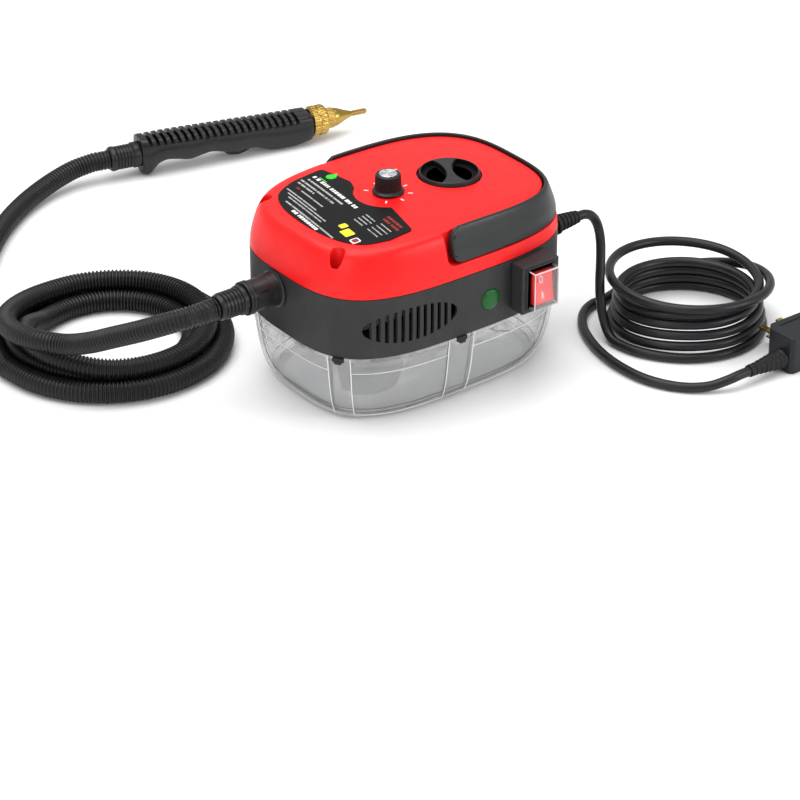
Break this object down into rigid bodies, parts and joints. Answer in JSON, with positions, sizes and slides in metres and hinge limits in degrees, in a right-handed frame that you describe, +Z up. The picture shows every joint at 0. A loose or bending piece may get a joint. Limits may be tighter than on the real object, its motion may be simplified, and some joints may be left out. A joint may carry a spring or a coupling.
{
  "type": "steam cleaner",
  "caption": "Portable canister steam cleaner with a clear water tank, bail handle, steam control dial, filler cap, coiled steam hose with a gun, and a coiled mains cord.",
  "frame": {"origin": "centre of the tank's underside, on the surface the cleaner stands on", "axes": "+X along the body towards the mains cord end, -Y out of the front with the switch, +Z up"},
  "size_m": [0.593, 0.6842, 0.1792],
  "materials": {
    "clear_tank": "clear polycarbonate, polished",
    "housing": "dark grey ABS, fine texture",
    "cover_red": "red ABS, satin",
    "label_black": "printed polyester label, satin",
    "handle_black": "charcoal ABS, satin",
    "black_plastic": "black ABS and nylon, fine texture",
    "black_rubber": "black rubber and PVC",
    "silicone": "clear splash boot",
    "rocker_red": "red polycarbonate",
    "lens_green": "green lamp lens",
    "aluminium": "cast or spun aluminium",
    "steel": "zinc plated and stainless steel",
    "brass": "turned brass",
    "copper": "annealed copper tube",
    "white_plastic": "natural nylon and silicone tube",
    "board": "glass-fibre circuit board",
    "plug_plastic": "moulded PVC, bluish grey"
  },
  "bodies": {
    "base": {"water_tank": "clear_tank", "mid_housing": "housing", "floor_plate": "housing", "top_cover": "cover_red", "label_plate": "label_black", "filler_neck": "black_plastic", "switch_frame": "black_plastic", "switch_body": "black_plastic", "hose_socket": "black_plastic", "hose_connector": "black_plastic", "gun_hose_cuff": "black_plastic", "gun_shell_right": "black_plastic", "gun_shell_left": "black_plastic", "tank_seal": "black_rubber", "steam_hose_lead": "black_rubber", "steam_hose_coil": "black_rubber", "steam_hose_tail": "black_rubber", "cord_gland": "black_rubber", "mains_cord_lead": "black_rubber", "mains_cord_coil": "black_rubber", "mains_cord_tail": "black_rubber", "switch_boot": "silicone", "indicator_lens": "lens_green", "boiler_block": "aluminium", "handle_pin_front": "steel", "handle_pin_rear": "steel", "cover_screw_1": "steel", "cover_screw_2": "steel", "cover_screw_3": "steel", "cover_screw_4": "steel", "pot_body": "steel", "plug_pin_line": "steel", "plug_pin_neutral": "steel", "plug_pin_earth": "steel", "boiler_thermostat": "steel", "water_pump": "steel", "pump_bracket": "steel", "suction_filter": "steel", "gun_steam_tube": "steel", "steam_pipe": "copper", "indicator_lamp": "white_plastic", "thermal_fuse": "white_plastic", "suction_tube": "white_plastic", "feed_tube": "white_plastic", "control_board": "board", "plug_relief": "plug_plastic", "plug_body": "plug_plastic"},
    "handle": {"carry_handle": "handle_black"},
    "cap_lift": {"cap_seal": "black_rubber"},
    "cap": {"filler_cap": "black_plastic"},
    "steam_control": {"steam_knob": "black_plastic", "knob_insert": "aluminium", "pot_shaft": "aluminium"},
    "rocker": {"power_rocker": "rocker_red"},
    "trigger": {"gun_trigger": "black_plastic"},
    "nut": {"nozzle_nut": "brass"},
    "nozzle": {"steam_nozzle": "brass"}
  },
  "joints": [
    {"name": "handle_swing", "type": "hinge", "parent": "base", "child": "handle", "pos_m": [-0.0125, 0, 0.1505], "axis": [0, -1, 0], "range_deg": [0, 90]},
    {"name": "cap_lift", "type": "slide", "parent": "base", "child": "cap_lift", "axis": [0, 0, 1], "range_m": [0, 0.06]},
    {"name": "cap_turn", "type": "hinge", "parent": "cap_lift", "child": "cap", "pos_m": [0.045, -0.0025, 0.16], "axis": [0, 0, 1], "range_deg": [0, 90]},
    {"name": "steam_control_turn", "type": "hinge", "parent": "base", "child": "steam_control", "pos_m": [-0.017, 0, 0.165], "axis": [0, 0, 1], "range_deg": [-135, 135]},
    {"name": "rocker_tilt", "type": "hinge", "parent": "base", "child": "rocker", "pos_m": [0.0583, -0.104, 0.096], "axis": [1, 0, 0], "range_deg": [0, 12]},
    {"name": "trigger_pull", "type": "slide", "parent": "base", "child": "trigger", "axis": [0, 0, 1], "range_m": [0, 0.003], "stiffness_N_per_m": 400},
    {"name": "nut_turn", "type": "hinge", "parent": "base", "child": "nut", "pos_m": [0.19802, 0.40216, 0.0195], "axis": [0.9781, -0.2079, 0], "continuous": true},
    {"name": "nozzle_turn", "type": "hinge", "parent": "base", "child": "nozzle", "pos_m": [0.22052, 0.39738, 0.0195], "axis": [0.9781, -0.2079, 0], "continuous": true}
  ]
}
